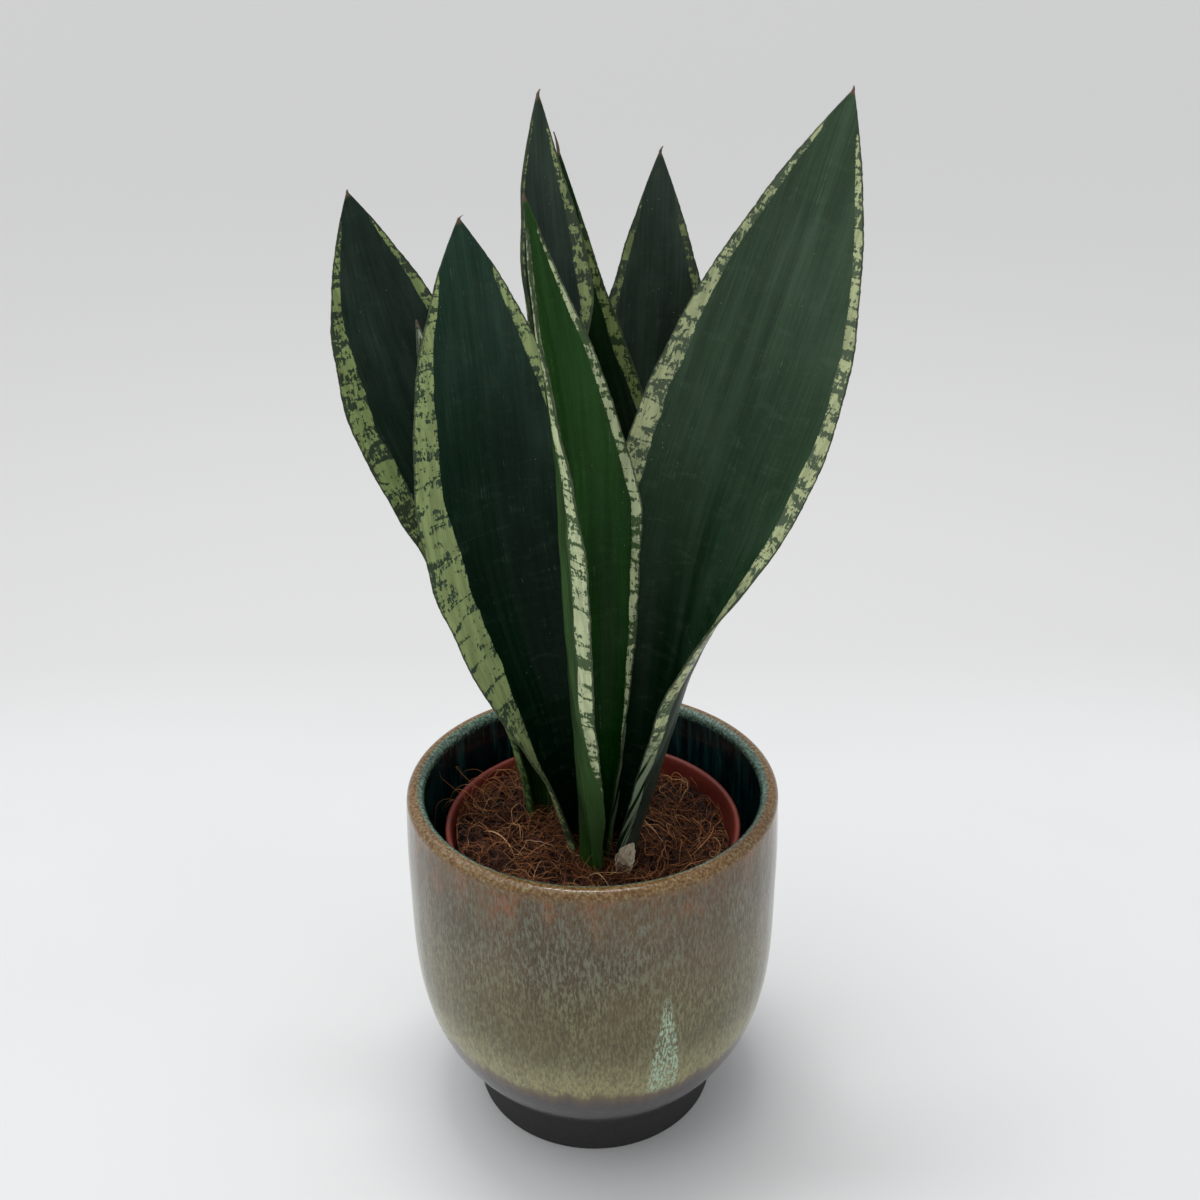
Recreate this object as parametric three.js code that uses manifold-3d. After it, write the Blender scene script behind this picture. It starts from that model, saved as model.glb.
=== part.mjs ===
// A potted snake plant: eight stiff leaves on one rhizome, rooted in a coir block inside a plastic
// nursery pot, which stands loose in a glazed ceramic cachepot.
// Millimetres, +Z up. The origin is the centre of the cachepot's flat underside.

import * as THREE from 'three';
import { mergeVertices } from 'three/addons/utils/BufferGeometryUtils.js';
import Module from 'manifold-3d';

const wasm = await Module();
wasm.setup();

// ---------------------------------------------------------------- driving dimensions

const seatGap = 0.3; // clearance between any two pieces that touch

const cachepot = {
  height: 149,
  rimRadius: 74.2, // outside, below the rounded lip
  swell: 0.8, // how far the wall stands out beyond that at its fullest
  swellHeight: 100, // where the curve of the bowl ends and the full wall starts
  lipTuck: 24, // length of wall below the lip over which it draws in again
  bowlCurve: 3.35, // how square the bowl's shoulder is: 2 is a parabola
  shoulder: 1.8, // how far the glazed bowl stands out from the foot where it starts
  footRadius: 51,
  footHeight: 17,
  footRound: 1, // bevel of the foot's edges
  wall: 7,
  floor: 20, // top of the inside floor above the table
  floorFillet: 5,
  segments: 56,
};

const nurseryPot = {
  sideGap: 7.2, // from its rim to the inside of the cachepot's rim
  heelGap: 8, // how far its base draws in from the cachepot's foot
  height: 109,
  wall: 1.4,
  lipHeight: 9, // depth of the rolled rim
  lipOverhang: 0.9, // how far the rolled rim stands out from the wall below it
  lipRound: 0.5,
  heelRound: 1.5,
  drainHoles: 6,
  drainRadius: 3.5,
  drainReach: 29, // from the axis to the outer drain holes
  drainSides: 12,
  segments: 44,
};

const coir = {
  drop: 8.5, // mean surface below the nursery pot's rim
  swell: 2, // height of its humps
  humpsAcross: 13, // spacing of the humps, as the lengths over which their waves turn by a radian
  humpsDeep: 11,
  lean: 0.05, // fall of the surface towards +X
  rings: 6,
  segments: 44,
};

const rhizome = {
  depth: 22, // top of the crowns below the coir surface
  stemRadius: 7,
  stemSag: 6, // how far the stems dip between two crowns
  cover: 1, // thickness of crown above and below the stems
  crownRound: 2,
  segments: 20,
};

const leaf = {
  middle: 2.6, // thickness at the midrib
  margin: 0.9, // thickness at the edges
  tip: 1.0, // width of the very point
  slimBelow: 6, // half width under which the blade thins with its width
  across: 8, // facets across each face
  rings: 22, // even sections along the leaf
  lastShare: 0.985, // one more section just below the point
};

// Where the three shoots stand on the rhizome, in x and y.
const frontShoot = { x: 3, y: -12, crown: 16 };
const backShoot = { x: 8, y: 12, crown: 18 };
const sideShoot = { x: -20, y: 18, crown: 13 };

// Each leaf: its height above the crown, its full width and where that is, its width at the root as
// a share, how blunt its point is, and its sections. A section is [share of the height, x, y, fold,
// facing]: x and y place the midrib from its shoot, fold is the half angle that the blade is rolled
// through, and facing turns the hollow side from the front (0) towards +X (90).
const leafPlans = {
  leaf_front: {
    shoot: frontShoot, height: 279, width: 57, widest: 0.62, root: 0.42, blunt: 1.05,
    sections: [
      [0.0, -6.5, -5, 150, 65],
      [0.15, -6.5, -5, 150, 65],
      [0.26, -7, -7, 115, 62],
      [0.36, -7.5, -9, 95, 60],
      [0.52, -9, -12, 90, 60],
      [0.68, -10, -14, 78, 58],
      [0.8, -13, -15, 62, 52],
      [0.9, -18, -15, 56, 50],
      [1.0, -22, -16, 80, 48],
    ],
  },
  leaf_front_left: {
    shoot: frontShoot, height: 268, width: 63, widest: 0.62, root: 0.36, blunt: 2.1,
    sections: [
      [0.0, -9, 9.5, 130, 25],
      [0.1, -10, 9, 130, 25],
      [0.2, -14, 7, 105, 24],
      [0.3, -19, 5, 75, 22],
      [0.44, -28, 3, 50, 20],
      [0.6, -35.5, 2, 38, 18],
      [0.8, -40, 6, 32, 16],
      [1.0, -45.5, 14, 20, 14],
    ],
  },
  leaf_front_right: {
    shoot: frontShoot, height: 306, width: 73, widest: 0.6, root: 0.34, blunt: 1.9,
    sections: [
      [0.0, 12, 4, 140, -60],
      [0.08, 12.5, 4, 140, -60],
      [0.15, 17, 3, 125, -60],
      [0.27, 24.5, 1, 108, -58],
      [0.36, 29, 0, 98, -52],
      [0.45, 33, 0, 75, -40],
      [0.55, 39.5, 3, 50, -26],
      [0.7, 54.5, 10, 34, -16],
      [0.85, 70, 19, 28, -12],
      [1.0, 85, 28, 20, -10],
    ],
  },
  leaf_centre: {
    shoot: backShoot, height: 305, width: 34, widest: 0.75, root: 0.5, blunt: 1.6,
    sections: [
      [0.0, -10, -3, 140, 20],
      [0.2, -10.5, -3, 135, 20],
      [0.4, -12.5, -2, 135, 16],
      [0.6, -18, 0, 128, 14],
      [0.72, -20.5, 1, 110, 16],
      [0.82, -21.5, 3, 60, 24],
      [0.92, -24, 6, 42, 28],
      [1.0, -24, 8, 30, 28],
    ],
  },
  leaf_back: {
    shoot: backShoot, height: 285, width: 56, widest: 0.62, root: 0.38, blunt: 1.05,
    sections: [
      [0.0, 4.5, 0, 130, -5],
      [0.2, 3, 7, 110, -5],
      [0.4, 0, 17, 75, -5],
      [0.6, -5, 23, 52, 0],
      [0.8, -13, 25, 42, 5],
      [1.0, -18, 26, 25, 5],
    ],
  },
  leaf_back_right: {
    shoot: backShoot, height: 283, width: 60, widest: 0.58, root: 0.36, blunt: 1.7,
    sections: [
      [0.0, 8.7, 13, 130, -20],
      [0.2, 9, 22, 110, -16],
      [0.4, 11, 33, 70, -10],
      [0.6, 14.5, 39, 42, -5],
      [0.8, 17.5, 42, 32, 0],
      [1.0, 18.5, 42, 20, 0],
    ],
  },
  leaf_side: {
    shoot: sideShoot, height: 272, width: 58, widest: 0.68, root: 0.34, blunt: 1.9,
    sections: [
      [0.0, -4, 2, 140, 20],
      [0.1, -4.5, 3, 135, 22],
      [0.24, -10, 5, 115, 24],
      [0.4, -20, 9, 85, 24],
      [0.54, -28, 12, 62, 22],
      [0.72, -46, 15, 40, 20],
      [0.86, -57, 17, 32, 18],
      [1.0, -65, 18, 20, 16],
    ],
  },
  leaf_side_young: {
    shoot: sideShoot, height: 228, width: 26, widest: 0.6, root: 0.5, blunt: 1.5,
    sections: [
      [0.0, 11, -5, 130, 10],
      [0.3, 4, -5, 110, 10],
      [0.6, -18, 1, 80, 12],
      [0.85, -36, 7, 60, 12],
      [1.0, -42, 8, 40, 10],
    ],
  },
};

// The dried papery sheath at the foot of the front right leaf, set shallow and thinner than a leaf.
const sheathDepth = 4;
const sheathPlan = {
  shoot: frontShoot, height: 14, width: 9, widest: 0.55, root: 0.7, blunt: 2, slim: 0.4, rings: 6,
  rise: rhizome.depth - sheathDepth,
  sections: [
    [0.0, 9, -8.5, 60, -15],
    [0.6, 10, -8.5, 55, -15],
    [1.0, 13, -7.5, 40, -25],
  ],
};

// ---------------------------------------------------------------- heights that follow

const nurseryFloor = cachepot.floor + seatGap; // underside of the nursery pot
const nurseryRim = nurseryFloor + nurseryPot.height;
const nurseryRimRadius = cachepot.rimRadius - cachepot.wall - nurseryPot.sideGap;
const nurseryBaseRadius = cachepot.footRadius - nurseryPot.heelGap;
const coirLevel = nurseryRim - coir.drop;
const crownTop = coirLevel - rhizome.depth;
const leafRoot = crownTop + seatGap;

// ---------------------------------------------------------------- materials

const finish = (color, roughness) => new THREE.MeshStandardMaterial({ color, roughness, metalness: 0 });
const glaze = finish(0x6b5f46, 0.22);
const plastic = finish(0x9c4a34, 0.5);
const fibre = finish(0x6e4128, 0.95);
const root = finish(0xb98f55, 0.8);
const blade = finish(0x1f3a2c, 0.42);
const paper = finish(0xd9cdb4, 0.85);

// ---------------------------------------------------------------- solids

function toSolid(geometry) {
  const bare = geometry.clone();
  for (const name of Object.keys(bare.attributes)) {
    if (name !== 'position') bare.deleteAttribute(name);
  }
  const merged = mergeVertices(bare, 1e-4);
  const corners = merged.index.array;
  const kept = [];
  for (let i = 0; i < corners.length; i += 3) {
    const [a, b, c] = corners.slice(i, i + 3);
    if (a !== b && b !== c && c !== a) kept.push(a, b, c);
  }
  return new wasm.Manifold(new wasm.Mesh({
    numProp: 3,
    vertProperties: Float32Array.from(merged.attributes.position.array),
    triVerts: Uint32Array.from(kept),
  }));
}

function toMesh(name, solid, material) {
  const { vertProperties, triVerts } = solid.getMesh();
  const geometry = new THREE.BufferGeometry();
  geometry.setAttribute('position', new THREE.BufferAttribute(vertProperties, 3));
  geometry.setIndex(new THREE.BufferAttribute(triVerts, 1));
  geometry.computeVertexNormals();
  const mesh = new THREE.Mesh(geometry, material);
  mesh.name = name;
  return mesh;
}

// A body of revolution about +Z from a profile of [radius, height] points.
function turned(profile, segments) {
  const points = profile.map(([r, z]) => new THREE.Vector2(Math.max(r, 0), z));
  return toSolid(new THREE.LatheGeometry(points, segments).rotateX(Math.PI / 2));
}

function upright(radius, bottom, top, x, y, sides) {
  const shape = new THREE.CylinderGeometry(radius, radius, top - bottom, sides);
  return toSolid(shape.rotateX(Math.PI / 2).translate(x, y, (top + bottom) / 2));
}

// A smooth curve through [radius, height] points, as a list of such points.
function smoothProfile(points, divisions) {
  const curve = new THREE.SplineCurve(points.map(([r, z]) => new THREE.Vector2(r, z)));
  return curve.getPoints(divisions).map((p) => [p.x, p.y]);
}

// Evenly spaced values from one end to the other.
const evenly = (from, to, steps) => (
  Array.from({ length: steps + 1 }, (_, k) => from + ((to - from) * k) / steps)
);

// Joins rings of equally many points into a closed solid; each ring is two equal rows, back to back.
function loft(rings) {
  const size = rings[0].length;
  const row = size / 2;
  const positions = rings.flat().flatMap((p) => [p.x, p.y, p.z]);
  const index = [];
  for (let k = 0; k + 1 < rings.length; k += 1) {
    for (let i = 0; i < size; i += 1) {
      const a = k * size + i;
      const b = k * size + ((i + 1) % size);
      index.push(a, b, b + size, a, b + size, a + size);
    }
  }
  const cap = (start, flip) => {
    for (let i = 0; i + 1 < row; i += 1) {
      const [a, b, c, d] = [start + i, start + i + 1, start + size - 2 - i, start + size - 1 - i];
      index.push(...(flip ? [a, c, b, a, d, c] : [a, b, c, a, c, d]));
    }
  };
  cap(0, true);
  cap((rings.length - 1) * size, false);
  const geometry = new THREE.BufferGeometry();
  geometry.setAttribute('position', new THREE.Float32BufferAttribute(positions, 3));
  geometry.setIndex(index);
  return toSolid(geometry);
}

// ---------------------------------------------------------------- leaves

const radians = THREE.MathUtils.degToRad;

// Value of one column of a leaf's sections at a share of its height, on a smooth curve.
function alongColumn(sections, column, share) {
  const last = sections.length - 1;
  const slope = (k) => {
    const [a, b] = [sections[Math.max(k - 1, 0)], sections[Math.min(k + 1, last)]];
    return (b[column] - a[column]) / (b[0] - a[0]);
  };
  let k = 0;
  while (k < last - 1 && sections[k + 1][0] < share) k += 1;
  const [from, to] = [sections[k], sections[k + 1]];
  const span = to[0] - from[0];
  const t = (share - from[0]) / span;
  const [t2, t3] = [t * t, t * t * t];
  return (2 * t3 - 3 * t2 + 1) * from[column] + (t3 - 2 * t2 + t) * span * slope(k)
    + (3 * t2 - 2 * t3) * to[column] + (t3 - t2) * span * slope(k + 1);
}

// Full width of the blade at a share of its height: a narrow stalk that opens, then a blunt point.
function bladeWidth(plan, share) {
  if (share < plan.widest) {
    const open = (1 - Math.cos((Math.PI * share) / plan.widest)) / 2;
    return plan.width * (plan.root + (1 - plan.root) * open);
  }
  const left = (1 - share) / (1 - plan.widest);
  return leaf.tip + (plan.width - leaf.tip) * (1 - (1 - left) ** plan.blunt);
}

function leafPoint(plan, share) {
  return new THREE.Vector3(
    plan.shoot.x + alongColumn(plan.sections, 1, share),
    plan.shoot.y + alongColumn(plan.sections, 2, share),
    leafRoot + (plan.rise ?? 0) + plan.height * share,
  );
}

// One section: a rolled strip of even arc, thickest at the midrib, grown all round by a margin.
function leafRing(plan, share, grow) {
  const step = share > 0 ? 0.004 : 0;
  const heading = leafPoint(plan, share + step).sub(leafPoint(plan, share - step));
  heading.setZ(Math.max(heading.z, 1e-6)).normalize();
  const facing = radians(alongColumn(plan.sections, 4, share));
  const front = new THREE.Vector3(Math.sin(facing), -Math.cos(facing), 0);
  front.addScaledVector(heading, -front.dot(heading)).normalize();
  const side = new THREE.Vector3().crossVectors(heading, front);
  const fold = radians(alongColumn(plan.sections, 3, share));
  const half = bladeWidth(plan, share) / 2;
  const radius = half / fold;
  const slim = (plan.slim ?? 1) * Math.min(1, half / leaf.slimBelow);
  const centre = leafPoint(plan, share).addScaledVector(heading, share === 0 ? -grow : 0);
  const edge = grow / radius;
  const [inner, outer] = [[], []];
  for (let i = 0; i <= leaf.across; i += 1) {
    const across = (2 * i) / leaf.across - 1;
    const turn = fold * across + (Math.abs(across) === 1 ? across * edge : 0);
    const thick = slim * (leaf.margin + (leaf.middle - leaf.margin) * (1 - across * across)) + 2 * grow;
    const place = (r) => centre.clone()
      .addScaledVector(side, r * Math.sin(turn))
      .addScaledVector(front, radius - r * Math.cos(turn));
    inner.push(place(radius - thick / 2));
    outer.unshift(place(radius + thick / 2));
  }
  return [...inner, ...outer];
}

function leafSolid(plan, grow = 0, reach = 1) {
  const rings = [];
  const count = plan.rings ?? leaf.rings;
  for (let k = 0; k <= Math.ceil(count * reach); k += 1) rings.push(leafRing(plan, k / count, grow));
  if (reach === 1) rings.splice(-1, 0, leafRing(plan, leaf.lastShare, grow));
  return loft(rings);
}

// ---------------------------------------------------------------- ceramic cachepot

function cachepotSolid() {
  const { height, rimRadius, footRadius, footHeight, footRound, wall, floor, floorFillet } = cachepot;
  const { swellHeight, lipTuck, bowlCurve } = cachepot;
  const fullRadius = rimRadius + cachepot.swell;
  const shoulderRadius = footRadius + cachepot.shoulder;
  const lip = wall / 2;

  // The bowl opens from the foot to the full wall; above it the wall draws in softly to the lip.
  const bowl = (z) => {
    const below = (swellHeight - z) / (swellHeight - footHeight);
    return fullRadius - (fullRadius - shoulderRadius) * below ** bowlCurve;
  };
  const upperWall = (inset, steps) => smoothProfile([
    [fullRadius - inset, swellHeight],
    [fullRadius - inset, height - lip - lipTuck],
    [rimRadius - inset, height - lip],
  ], steps);
  const outside = evenly(footHeight, swellHeight, 12).map((z) => [bowl(z), z]);
  const inside = evenly(swellHeight, floor + floorFillet, 7).map((z) => [bowl(z) - wall, z]);
  const rim = [60, 90, 120].map((angle) => [
    rimRadius - lip + lip * Math.cos(radians(angle)),
    height - lip + lip * Math.sin(radians(angle)),
  ]);
  return turned([
    [0, 0],
    [footRadius - footRound, 0],
    [footRadius, footRound],
    [footRadius, footHeight - footRound],
    ...outside,
    ...upperWall(0, 5).slice(1),
    ...rim,
    ...upperWall(wall, 4).reverse().slice(0, -1),
    ...inside,
    [bowl(floor) - wall - floorFillet, floor],
    [0, floor],
  ], cachepot.segments);
}

// ---------------------------------------------------------------- nursery pot

const nurseryWallRadius = (z) => {
  const share = (z - nurseryFloor) / nurseryPot.height;
  const top = nurseryRimRadius - nurseryPot.lipOverhang;
  return nurseryBaseRadius + (top - nurseryBaseRadius) * share;
};

function nurseryPotSolid() {
  const { wall, lipHeight, lipRound, heelRound, drainHoles, drainRadius, drainReach } = nurseryPot;
  const lipBottom = nurseryRim - lipHeight;
  const lipInside = nurseryRimRadius - wall - lipRound;
  const floorTop = nurseryFloor + wall;
  const shell = turned([
    [0, nurseryFloor],
    [nurseryBaseRadius - heelRound, nurseryFloor],
    [nurseryBaseRadius, nurseryFloor + heelRound],
    [nurseryWallRadius(lipBottom), lipBottom],
    [nurseryRimRadius - lipRound, lipBottom],
    [nurseryRimRadius, nurseryRim - lipRound],
    [nurseryRimRadius - lipRound, nurseryRim],
    [lipInside, nurseryRim],
    [nurseryWallRadius(nurseryRim) - wall, nurseryRim - wall],
    [nurseryWallRadius(floorTop) - wall, floorTop],
    [0, floorTop],
  ], nurseryPot.segments);
  const drain = (x, y) => (
    upright(drainRadius, nurseryFloor - wall, floorTop + wall, x, y, nurseryPot.drainSides)
  );
  const holes = [drain(0, 0)];
  for (let k = 0; k < drainHoles; k += 1) {
    const angle = (2 * Math.PI * k) / drainHoles;
    holes.push(drain(drainReach * Math.cos(angle), drainReach * Math.sin(angle)));
  }
  return shell.subtract(wasm.Manifold.union(holes));
}

// ---------------------------------------------------------------- rhizome

function rhizomeSolid(grow = 0) {
  const { cover, crownRound, segments } = rhizome;
  const stemRadius = rhizome.stemRadius + grow;
  const stemHeight = crownTop - rhizome.stemRadius - cover;
  const crownFoot = stemHeight - rhizome.stemRadius - 2 * cover - grow;
  const crown = ({ x, y, crown: radius }) => turned([
    [0, crownFoot],
    [0.65 * radius + grow, crownFoot + cover],
    [radius + grow, stemHeight],
    [radius + grow, crownTop - crownRound],
    [radius - crownRound + grow, crownTop + grow],
    [0, crownTop + grow],
  ], segments).translate([x, y, 0]);
  const stem = (from, to) => {
    const route = new THREE.QuadraticBezierCurve3(
      new THREE.Vector3(from.x, from.y, stemHeight),
      new THREE.Vector3((from.x + to.x) / 2, (from.y + to.y) / 2, stemHeight - rhizome.stemSag),
      new THREE.Vector3(to.x, to.y, stemHeight),
    );
    const section = new THREE.Shape().absarc(0, 0, stemRadius, 0, 2 * Math.PI);
    return toSolid(new THREE.ExtrudeGeometry(section, {
      extrudePath: route, steps: 6, curveSegments: 10, bevelEnabled: false,
    }));
  };
  return wasm.Manifold.union([
    ...[frontShoot, backShoot, sideShoot].map(crown),
    stem(frontShoot, backShoot),
    stem(backShoot, sideShoot),
  ]);
}

// ---------------------------------------------------------------- coir block

function coirSolid(roots) {
  const { rings, segments, swell, humpsAcross, humpsDeep, lean } = coir;
  const bottom = nurseryFloor + nurseryPot.wall + seatGap;
  const radiusAt = (z) => nurseryWallRadius(z) - nurseryPot.wall - seatGap;
  const surface = (x, y) => coirLevel
    + swell * Math.sin(x / humpsAcross + 0.6) * Math.cos(y / humpsDeep - 0.4) - lean * x;
  const topRadius = radiusAt(coirLevel - swell - lean * nurseryRimRadius);
  const positions = [0, 0, bottom, 0, 0, surface(0, 0)];
  const ringRadius = (k) => (topRadius * k) / rings;
  for (let k = 1; k <= rings; k += 1) {
    for (let i = 0; i < segments; i += 1) {
      const angle = (2 * Math.PI * i) / segments;
      const [x, y] = [ringRadius(k) * Math.cos(angle), ringRadius(k) * Math.sin(angle)];
      positions.push(x, y, surface(x, y));
    }
  }
  for (let i = 0; i < segments; i += 1) {
    const angle = (2 * Math.PI * i) / segments;
    positions.push(radiusAt(bottom) * Math.cos(angle), radiusAt(bottom) * Math.sin(angle), bottom);
  }
  const at = (ring, i) => 2 + (ring - 1) * segments + (i % segments);
  const index = [];
  for (let i = 0; i < segments; i += 1) {
    index.push(1, at(1, i), at(1, i + 1));
    for (let k = 1; k < rings; k += 1) {
      index.push(at(k, i), at(k + 1, i), at(k + 1, i + 1), at(k, i), at(k + 1, i + 1), at(k, i + 1));
    }
    const [a, b] = [at(rings, i), at(rings, i + 1)];
    const [c, d] = [at(rings + 1, i), at(rings + 1, i + 1)];
    index.push(a, c, d, a, d, b, 0, d, c);
  }
  const geometry = new THREE.BufferGeometry();
  geometry.setAttribute('position', new THREE.Float32BufferAttribute(positions, 3));
  geometry.setIndex(index);
  return toSolid(geometry).subtract(wasm.Manifold.union(roots));
}

// ---------------------------------------------------------------- assembly

// A leaf's socket reaches from its root to above the highest coir beside it.
const socketTop = rhizome.depth + 2 * coir.swell + coir.lean * nurseryRimRadius;
const sockets = Object.values(leafPlans).map((plan) => (
  leafSolid(plan, seatGap, socketTop / plan.height)
));
sockets.push(leafSolid(sheathPlan, seatGap));

const plant = new THREE.Group();
plant.add(toMesh('cachepot', cachepotSolid(), glaze));
plant.add(toMesh('nursery_pot', nurseryPotSolid(), plastic));
plant.add(toMesh('rhizome', rhizomeSolid(), root));
plant.add(toMesh('coir_block', coirSolid([rhizomeSolid(seatGap), ...sockets]), fibre));
for (const [name, plan] of Object.entries(leafPlans)) plant.add(toMesh(name, leafSolid(plan), blade));
plant.add(toMesh('papery_sheath', leafSolid(sheathPlan), paper));

export default plant;
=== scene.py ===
import math

import bmesh
import bpy
import numpy as np
from mathutils import Matrix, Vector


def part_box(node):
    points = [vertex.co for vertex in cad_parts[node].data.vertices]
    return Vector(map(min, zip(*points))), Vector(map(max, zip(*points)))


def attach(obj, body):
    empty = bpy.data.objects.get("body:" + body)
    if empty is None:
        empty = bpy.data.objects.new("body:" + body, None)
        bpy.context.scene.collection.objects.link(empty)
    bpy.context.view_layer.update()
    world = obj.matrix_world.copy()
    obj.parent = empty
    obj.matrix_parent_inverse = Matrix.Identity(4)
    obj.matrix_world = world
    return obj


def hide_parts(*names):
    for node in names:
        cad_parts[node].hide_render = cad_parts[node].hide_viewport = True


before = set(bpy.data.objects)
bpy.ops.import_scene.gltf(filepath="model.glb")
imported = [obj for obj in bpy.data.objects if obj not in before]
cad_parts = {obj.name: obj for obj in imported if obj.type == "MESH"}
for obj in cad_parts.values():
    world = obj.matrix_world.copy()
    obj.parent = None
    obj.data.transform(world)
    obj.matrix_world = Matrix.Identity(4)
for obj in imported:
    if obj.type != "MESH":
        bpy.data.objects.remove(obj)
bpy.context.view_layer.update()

# Lengths are millimetres until a mesh is made, and then metres. +Z is up, and the view is towards +Y.
# Lights, the camera and the floor are in metres. Colours are three numbers from 0 to 255.
MM = 0.001
BODY = "root"


def box_mm(node):
    low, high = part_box(node)
    return np.array(low) / MM, np.array(high) / MM


def unit(v):
    return v / np.linalg.norm(v, axis=-1, keepdims=True)


def ease(x, low, high):
    """Rises smoothly from 0 at low to 1 at high."""
    t = np.clip((x - low) / (high - low), 0, 1)
    return t * t * (3 - 2 * t)


def ripple(x, seed, lengths):
    """A repeatable wander of about -1 to 1 along x, made of waves of these lengths."""
    rng = np.random.default_rng(seed)
    total = np.zeros(np.shape(x))
    for length in lengths:
        total += np.sin(2 * np.pi * x / (length * rng.uniform(0.85, 1.15)) + rng.uniform(0, 2 * np.pi))
    return total / math.sqrt(len(lengths))


def ring_ripple(angle, seed, counts):
    """The same round a circle, with these numbers of waves in a turn."""
    rng = np.random.default_rng(seed)
    total = np.zeros(np.shape(angle))
    for count in counts:
        total += np.sin(count * angle + rng.uniform(0, 2 * np.pi))
    return total / math.sqrt(len(counts))


def new_object(name, data):
    made = bpy.data.objects.new(name, data)
    bpy.context.scene.collection.objects.link(made)
    return made


# -------------------- camera

CAMERA_AT = (0.0035, -0.44225, 0.436)
PITCH = math.radians(90 - 25.18)  # from looking straight down
ROLL = -0.0069  # radians

camera = new_object("camera", bpy.data.cameras.new("camera"))
camera.data.lens, camera.data.sensor_width = 39, 36
camera.data.clip_start, camera.data.clip_end = 0.01, 500
camera.matrix_world = (
    Matrix.Translation(CAMERA_AT) @ Matrix.Rotation(PITCH, 4, "X") @ Matrix.Rotation(ROLL, 4, "Z")
)
bpy.context.scene.camera = camera


# -------------------- shader nodes

def toned(colour, factor, lift=0):
    """A colour times a factor, and then lifted by so many levels."""
    return tuple(c * factor + lift for c in colour)


def linear(colour):
    """A colour as the shader takes it."""
    def one(c):
        c /= 255
        return c / 12.92 if c <= 0.04045 else ((c + 0.055) / 1.055) ** 2.4
    return (*[one(c) for c in colour], 1.0)


class Tree:
    """A material and short ways to add nodes to it. Inputs are numbers, colours or other sockets."""

    def __init__(self, name):
        self.material = bpy.data.materials.new(name)
        self.material.use_nodes = True
        self.nodes, self.links = self.material.node_tree.nodes, self.material.node_tree.links
        self.nodes.clear()
        self.shader = self.nodes.new("ShaderNodeBsdfPrincipled")
        out = self.nodes.new("ShaderNodeOutputMaterial")
        self.links.new(self.shader.outputs[0], out.inputs[0])

    def put(self, socket, value):
        if isinstance(value, bpy.types.NodeSocket):
            self.links.new(value, socket)
        elif isinstance(value, tuple) and len(value) == 3 and socket.type == "RGBA":
            socket.default_value = linear(value)
        else:
            socket.default_value = value

    def node(self, kind, inputs=(), **settings):
        made = self.nodes.new("ShaderNode" + kind)
        for name, value in settings.items():
            setattr(made, name, value)
        for key, value in dict(inputs).items():
            self.put(made.inputs[key], value)
        return made

    def finish(self, **inputs):
        for name, value in inputs.items():
            self.put(self.shader.inputs[name.replace("_", " ")], value)
        return self.material

    def attribute(self, name):
        return self.node("Attribute", attribute_name=name).outputs["Vector"]

    def value_of(self, name):
        return self.node("Attribute", attribute_name=name).outputs["Fac"]

    def place(self, x, y=None, z=None):
        """Object coordinates in millimetres, each times its scale, or all times one."""
        where = self.node("TexCoord").outputs["Object"]
        factors = (x / MM, x / MM if y is None else y / MM, x / MM if z is None else z / MM)
        return self.node("VectorMath", {0: where, 1: factors}, operation="MULTIPLY").outputs[0]

    def shifted(self, vector, by):
        return self.node("VectorMath", {0: vector, 1: by}, operation="ADD").outputs[0]

    def split(self, vector):
        return tuple(self.node("SeparateXYZ", {0: vector}).outputs)

    def join(self, x, y, z):
        return self.node("CombineXYZ", {0: x, 1: y, 2: z}).outputs[0]

    def math(self, operation, a, b=0.0):
        return self.node("Math", {0: a, 1: b}, operation=operation).outputs[0]

    def dot(self, a, b):
        return self.node("VectorMath", {0: a, 1: b}, operation="DOT_PRODUCT").outputs["Value"]

    def add(self, first, *others):
        for other in others:
            first = self.math("ADD", first, other)
        return first

    def times(self, first, *others):
        for other in others:
            first = self.math("MULTIPLY", first, other)
        return first

    def less(self, a, b):
        return self.math("SUBTRACT", a, b)

    def sway(self, noise, reach):
        """A noise of 0 to 1 as a shift to both sides, from -reach / 2 to reach / 2."""
        return self.times(self.less(noise, 0.5), reach)

    def noise(self, vector, detail=3.0, rough=0.5, distort=0.0, scale=1.0):
        return self.node("TexNoise", {
            "Vector": vector, "Scale": scale, "Detail": detail, "Roughness": rough, "Distortion": distort,
        }).outputs[0]

    def cells(self, vector):
        return self.node("TexVoronoi", {"Vector": vector, "Scale": 1.0}).outputs["Distance"]

    def step(self, value, low, high):
        """0 below low to 1 above high, or the other way round when low is above high."""
        rising = self.node("MapRange", {0: value, 1: min(low, high), 2: max(low, high)},
                           interpolation_type="SMOOTHSTEP").outputs[0]
        return rising if low < high else self.less(1.0, rising)

    def blend(self, share, a, b):
        return self.node("Mix", {0: share, 6: a, 7: b}, data_type="RGBA").outputs[2]

    def ramp(self, value, *stops):
        made = self.node("ValToRGB", {0: value})
        points = made.color_ramp.elements
        while len(points) < len(stops):
            points.new(0.5)
        for point, (position, colour) in zip(points, stops):
            point.position, point.color = position, linear(colour)
        return made.outputs[0]

    def bump(self, height, depth, under=None):
        """Relief of this depth in millimetres."""
        made = self.node("Bump", {"Height": height, "Distance": depth * MM, "Strength": 1.0})
        if under is not None:
            self.put(made.inputs["Normal"], under)
        return made.outputs[0]


# -------------------- meshes

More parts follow.
